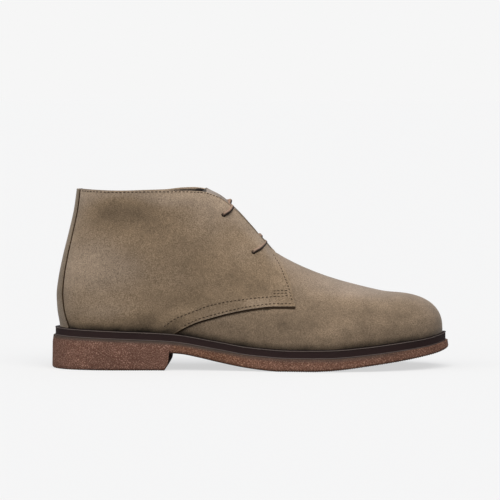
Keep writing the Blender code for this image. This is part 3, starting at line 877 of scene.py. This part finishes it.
# welt: two lips, paler than the groove between them: painted highlights along its top and bottom edges
welt = dict(groove=0.28, lip=0.45, lowLip=0.7, bend=0.12, topBend=0.14)
edge, lip, lowLip, bend = soles["margin"], welt["lip"], welt["lowLip"], welt["bend"]
flat, groove, shares = edge - 1, edge - welt["groove"], (0, 0.2, 0.6, 1)
levels = [(flat, share, stripFoot) for share in shares[::-1]] + [(edge - bend, 0, stripFoot)]
levels += [(edge, 0, overFoot(bend)), (edge, 0, overFoot(lowLip)), (groove, 0, overFoot(lowLip + bend))]
levels += [(groove, 0, lambda spot: mix(stripFoot(spot), seat(spot.x), 0.5))]
levels += [(groove, 0, overSeat(-lip - bend)), (edge, 0, overSeat(-lip))]
levels += [(edge, 0, overSeat(-welt["topBend"])), (edge - welt["topBend"], 0, overSeat())]
levels += [(flat, share, overSeat()) for share in shares]
piece = plate("welt_strip", coarseOutline, levels)
dress(piece, "midsole_rubber", weltFinish, lipFinish, angle=40)
# the lips take the paler finish: the painted highlights
for face in piece.data.polygons:
    spot = face.center / mm
    onLip = spot.z < stripFoot(spot) + lowLip or spot.z > seat(spot.x) - lip - 0.05
    face.material_index = 1 if onLip and abs(face.normal.z) < 0.8 else 0
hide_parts("midsole")
print("welt made")


sock = dict(inset=-3.2, thick=3.5, cup=1.1, rim=0.8, cupRun=7)
inset, cup, top = sock["inset"], sock["cup"], soles["gap"] + sock["thick"]
rim = inset - sock["rim"]
levels = [(inset, share, overSeat(soles["gap"])) for share in (1, 0.5, 0)]
levels += [(inset, 0, overSeat(top + cup - 0.5)), (inset - 0.25, 0, overSeat(top + cup - 0.1))]
for share in (0, 0.2, 0.4, 0.6, 0.8, 1):
    levels.append((rim - sock["cupRun"] * share, 0, overSeat(top + cup * (1 - share) ** 2)))
levels += [(rim - sock["cupRun"], share, overSeat(top)) for share in (0.25, 0.5, 0.75, 1)]
piece = plate("sock_lining", coarseOutline, levels)
dress(piece, "lining_leather", sockFinish, angle=50)
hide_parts("insole")
print("sock lining made")


crepe = dict(
    topFlare=1.3, midFlare=2, lowFlare=2.3, shoulder=5, low=2.2, sideRows=9, groove=0.955,
    ribPitch=1.72, ribDepth=0.42, heelRib=0.22, crinkle=0.1, warmFrom=(-62, -56), dustRun=(0.3, 3.4),
    dustToe=(96, 124), edge=((0, 1.5), (0.3, 0.75), (0.9, 0.22), (1.8, 0)))      # (height, set back)
breast = dict(foot=-63.4, turn=-60.8, bevel=4.6, head=-59.8, skew=0.03)
springZ = steadyCurve((48, 63, 87, 111, 133, 142, 148, 156), (0, 0.9, 3.8, 7, 10.4, 12.2, 13.9, 16.6))
waistZ = steadyCurve((breast["head"], -50, -38, -24, -8, 8, 20), (13, 12.2, 9.8, 6.4, 3.2, 1, 0))


def treadZ(spot):
    # the heel's flat, its breast, the arched waist, the forefoot's flat and the toe's spring
    x = spot.x - spot.y * breast["skew"] * eased(-spot.x, 20, 50)
    if x < breast["foot"]:
        return 0
    if x < breast["turn"]:
        return breast["bevel"] * (x - breast["foot"]) / (breast["turn"] - breast["foot"])
    if x < breast["head"]:
        share = (x - breast["turn"]) / (breast["head"] - breast["turn"])
        return mix(breast["bevel"], waistZ(breast["head"]), share)
    return waistZ(x) if x < 20 else springZ(x)


def ribRise(spot):
    # fine grooves across the tread
    phase = spot.x / crepe["ribPitch"] % 1
    depth = crepe["heelRib"] * eased(-spot.x, 64, 70) + crepe["ribDepth"] * eased(spot.x, 14, 26)
    return depth * (0.5 - 0.5 * math.cos(phase * 2 * math.pi)) ** 1.5


def crepeOut(spot, z):
    # how far the wall stands out at a height
    shoulder = crepeTop(spot) - crepe["shoulder"]
    if z > shoulder:
        flare = mix(crepe["midFlare"], crepe["topFlare"], (z - shoulder) / crepe["shoulder"])
    else:
        climb = max(z - crepe["low"], 0) / (shoulder - crepe["low"])
        flare = mix(crepe["lowFlare"], crepe["midFlare"], climb)
    return soles["margin"] + flare


def dustAndShade(point):
    # a band of dust and painted shade under the welt's overhang, fainter along the forefoot and most of all
    # at the toe
    below = crepeTop(point) - point.z
    full = 0.75 + 0.25 * eased(-point.x, -10, 30) * eased(2.2 - below, 0, 1.2)
    return full * (1 - eased(below, *crepe["dustRun"])) * (1 - 0.85 * eased(point.x, *crepe["dustToe"]))


def warm(point):
    return eased(point.x, *crepe["warmFrom"]) * (1 - 0.6 * eased(point.x, -20, 20))


outline, top = makeOutline(150, 420, 130), crepe["edge"][-1][0]


def edgeLevel(rise, back):
    return (lambda spot: crepeOut(spot, treadZ(spot) + rise) - back, 0,
            lambda spot: treadZ(spot) + rise + (1 - rise / top) * ribRise(spot))


def wallLevel(share):
    def height(spot):
        return mix(treadZ(spot) + top, crepeTop(spot), share)
    return lambda spot: crepeOut(spot, height(spot)), 0, height


def crinkled(point, i, j):
    if j in walls:
        away = outline[i % len(outline)][1]
        push = noise.noise(point * 0.55) * 0.7 + noise.noise(point * 1.3) * 0.4
        point += Vector((away.x, away.y, 0)) * push * crepe["crinkle"]
    return point


foot = edgeLevel(*crepe["edge"][0])
levels = [(foot[0], share, foot[2]) for share in (1, 0.8, 0.6, 0.4, 0.2, 0.05)]
firstWall = len(levels) + 1
levels += [edgeLevel(rise, back) for rise, back in crepe["edge"]]
levels += [wallLevel(row / crepe["sideRows"]) for row in range(1, crepe["sideRows"])]
levels += [wallLevel(crepe["groove"]), wallLevel(1)]
walls = range(firstWall, len(levels))
out, lid = soles["margin"] + crepe["topFlare"], overFoot(0.1 - soles["gap"])
levels += [(out - 0.25, 0, lid)] + [(out - 2, share, lid) for share in (0, 0.3, 0.6, 1)]
piece = plate("crepe_outsole", outline, levels, crinkled)
paint(piece, "dustAndShade", dustAndShade)
paint(piece, "warm", warm)
dress(piece, "outsole_rubber", crepeFinish, angle=35)
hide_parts("outsole")
print("outsole made")


# Lace
lace = dict(
    radius=1.45, above=-0.15, press=0.5, overEdge=-1.35, flankSink=1.5, inside=3.4, bow=(0.6, -0.7),
    steps=14, round=24, strand=0.055, strands=5, twist=2.6, underside=0.88, mouth=0.85,
    mouthReach=(1.2, 2.6), across=Vector((1, 0, 0.3)), down=Vector((0.77, 0, -0.64)))


def runsAlong(points):
    # the way from the first point to each
    runs = [0]
    for a, b in zip(points, points[1:]):
        runs.append(runs[-1] + math.dist(a, b))
    return runs


def rounded(points, count):
    # smooth curve through points, with so many steps between each two
    ends = [points[0] * 2 - points[1]] + points + [points[-1] * 2 - points[-2]]
    curve = []
    for before, a, b, after in zip(ends, ends[1:], ends[2:], ends[3:]):
        for i in range(count):
            t = i / count
            bend, twist = 2 * before - 5 * a + 4 * b - after, 3 * a - before - 3 * b + after
            curve.append(0.5 * (2 * a + (b - before) * t + bend * t * t + twist * t ** 3))
    return curve + [points[-1]]


def barHalf(side, row):
    # from inside the eyelet over the facing's edge to the tongue's crown, pressed a little into both
    crossing = row["crossing"] if side == lateral else row["far"]
    pressed = lace["radius"] - lace["press"]
    eye, away = eyeAt(side, row)
    edge, edgeAway = lastPoint(side, crossing, 1), lastNormal(side, crossing, 1)
    x, z = mix(row["x"], crossing, 0.5) + lace["bow"][0], mix(row["z"], edge.z, 0.5) + lace["bow"][1]
    near = lifted(side, x, upAt(side, x, z), pressed + wall["rest"])
    towards = (near - eye).normalized()
    lean = Vector((edgeAway.x, 0, edgeAway.z)).normalized()
    flank = tongueHalf(side, mix(crossing, row["crown"], 0.6))[tongue["crownSteps"] // 2]
    flank = flank + lean * (pressed - lace["flankSink"])
    crown = tongueHalf(side, row["crown"])[0] + lean * (lace["radius"] + lace["above"])
    return [eye - away * lace["inside"] - towards, eye - away * 0.6, eye + away * 0.8 + towards * 1.2, near,
            edge + edgeAway * (pressed + lace["overEdge"]) + collarRaise(side, crossing, 1), flank, crown]


def makeLace(row):
    outer, inner = barHalf(lateral, row), barHalf(medial, row)
    middle = (outer[-1] + inner[-1]) / 2
    path = rounded(outer[:-1] + [middle] + inner[-2::-1], lace["steps"])
    frames, side = [], lace["across"]
    for i, point in enumerate(path):
        run = (path[min(i + 1, len(path) - 1)] - path[max(i - 1, 0)]).normalized()
        side = (side - run * run.dot(side)).normalized()
        frames.append((point, side, run.cross(side)))
    runs = runsAlong(path)

    def place(i, j):
        point, across, over = frames[i]
        angle = j / lace["round"] * 2 * math.pi
        turn, shift = lace["strands"] * angle, lace["twist"] * runs[i]
        radius = lace["radius"] * (1 + lace["strand"] * math.sin(turn + shift) * math.sin(turn - shift))
        return point + (across * math.cos(angle) + over * math.sin(angle)) * radius

    piece = layOut(f"lace_{row['word']}", len(path) - 1, lace["round"], place)
    closeSeams(piece, 0.001)
    editing(piece, "EDGE", "DESELECT", bpy.ops.mesh.select_non_manifold, bpy.ops.mesh.fill,
            lambda: bpy.ops.mesh.select_all(action="SELECT"), bpy.ops.mesh.normals_make_consistent)
    eyes = [eyeAt(side, row)[0] for side in (lateral, medial)]

    def laceShade(point):
        # painted shade along its lower side and where it dives into the eyelets
        middle = min(path, key=lambda item: (item - point).length)
        under = (point - middle).dot(lace["down"]) / lace["radius"]
        mouth = 1 - eased(min((point - eye).length for eye in eyes), *lace["mouthReach"])
        return -max(lace["underside"] * eased(under, -0.4, 0.4), lace["mouth"] * mouth)

    paint(piece, "toneAndShading", laceShade)
    dress(piece, "lace_cotton", laceFinish, angle=70)
    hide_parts(f"lace_bar_{row['word']}")
    print("lace", row["word"], round(runs[-1], 1), "mm")


for row in eyelets["rows"]:
    makeLace(row)


# Stitches
stitch = dict(length=1.8, radius=0.32, pitch=3, above=0.02, collar=(-140, -23), collarInset=0.8)
stitchRows = dict(
    lower=((31, 49.6), (16.2, 49.6), (1, 48), (-14.2, 45.2), (-29.4, 41.3), (-40.8, 37.8), (-50, 33.4)),
    inner=((28.4, 55.6), (23.9, 54.9), (12.4, 54.5), (1, 53.6), (-10.4, 52.3), (-21.8, 50.6), (-32.5, 48),
           (-38.5, 45.7), (-48.4, 41.9), (-56.8, 38.5), (-65.2, 32.4)),
    front=((16.4, 85.6), (20.8, 78.4), (23.4, 72.7), (26.9, 64.9), (28.4, 60.8), (31, 51.5)),
    barHigh=((16.3, 58.9), (27.8, 58.9)),
    barLow=((16.3, 56.9), (27.8, 57.1)))


def sewn(name, rows):
    # rows are lines of (point, outward direction); copies of one stitch are joined along them
    bpy.ops.mesh.primitive_uv_sphere_add(segments=8, ring_count=6, radius=stitch["radius"] * mm)
    model = bpy.context.object
    editing(model, "VERT", "SELECT", lambda: bpy.ops.transform.rotate(
        value=math.pi / 2, orient_axis="Y", center_override=(0, 0, 0)))
    stretch = (stitch["length"] / 2 - stitch["radius"]) * mm
    for vert in model.data.vertices:
        if abs(vert.co.x) > 1e-6:
            vert.co.x += math.copysign(stretch, vert.co.x)
    copies = []
    for line in rows:
        points = [point for point, away in line]
        total = runsAlong(points)[-1]
        count = max(round(total / stitch["pitch"]), 1)
        for k in range(count):
            middle = (k + 0.5) * total / count
            place = along(points, middle)
            away = min(line, key=lambda item: (item[0] - place).length)[1]
            run = (along(points, middle + 0.5) - along(points, middle - 0.5)).normalized()
            across = away.cross(run).normalized()
            turn = Matrix((run, across, run.cross(across))).transposed().to_4x4()
            copies.append(placed(name, model.data.copy()))
            copies[-1].data.transform(Matrix.Translation((place + away * stitch["above"]) * mm) @ turn)
    bpy.data.objects.remove(model, do_unlink=True)
    bpy.ops.object.select_all(action="DESELECT")
    for copy in copies:
        copy.select_set(True)
    bpy.context.view_layer.objects.active = copies[0]
    bpy.ops.object.join()
    piece = bpy.context.object
    piece.name = piece.data.name = name
    dress(piece, "lace_cotton", threadFinish)


def seamSpot(side, s, z):
    up = upAt(side, s, z)
    return onQuarter(side, s, up), lastNormal(side, s, up)


def lineOnQuarter(side, row):
    # a row given by (x, z) places, laid on the quarter every millimetre
    runs = runsAlong(row)
    xAt, zAt = (steadyCurve(runs, values) for values in zip(*row))
    steps = [min(k, runs[-1]) for k in range(int(runs[-1]) + 2)]
    return [seamSpot(side, xAt(step), zAt(step)) for step in steps]


def collarLine(side):
    inset = stitch["collarInset"]
    return [seamSpot(side, s, lastPoint(side, s, 1).z - inset) for s in range(*stitch["collar"])]


for side, word in bothSides:
    sewn(f"stitches_{word}", [lineOnQuarter(side, row) for row in stitchRows.values()] + [collarLine(side)])
print("stitches sewn")


# Floor and light
studio = dict(
    lampTint=(1, 0.975, 0.93), floor=(0.27, 0.27, 0.27, 1), floorGlow=0.613, floorBounce=(0.1, 0.1, 0.1, 1),
    sky=0.46, skySeen=0.922, skyTint=(0.96, 1, 1.09, 1), white=(1, 1, 1, 1), lights=(
        dict(word="key", energy=2.2, spread=60, source=(0.1, -0.55, 0.9)),
        dict(word="heelFill", energy=0.7, spread=50, source=(-0.85, -0.4, 0.42))))
bpy.ops.mesh.primitive_circle_add(vertices=96, radius=40, fill_type="NGON")
floor = bpy.context.object
floor.name = floor.data.name = "floor"
pale, tree, shader = material(
    "paleFloor", {"Roughness": 0.9, "Specular IOR Level": 0, "Emission Color": studio["white"]})
seen = node(tree, "LightPath").outputs["Is Camera Ray"]
tree.links.new(blendColour(tree, seen, studio["floorBounce"], studio["floor"]), shader["Base Color"])
tree.links.new(calc(tree, "MULTIPLY", seen, studio["floorGlow"]), shader["Emission Strength"])
floor.data.materials.append(pale)
world = bpy.data.worlds.new("studio")
bpy.context.scene.world = world
world.use_nodes = True
sky = world.node_tree
back = sky.nodes["Background"]
seen = node(sky, "LightPath").outputs["Is Camera Ray"]
sky.links.new(blendColour(sky, seen, studio["skyTint"], studio["white"]), back.inputs["Color"])
level = calc(sky, "MULTIPLY_ADD", seen, studio["skySeen"] - studio["sky"], studio["sky"])
sky.links.new(level, back.inputs["Strength"])
for light in studio["lights"]:
    lamp = placed(light["word"], bpy.data.lights.new(light["word"], "SUN"))
    lamp.data.energy = light["energy"]
    lamp.data.color = studio["lampTint"]
    lamp.data.angle = math.radians(light["spread"])
    lamp.rotation_euler = (-Vector(light["source"])).to_track_quat("-Z", "Y").to_euler()
bpy.context.scene.view_settings.view_transform = "Standard"
print("stage set")

bpy.context.view_layer.update()
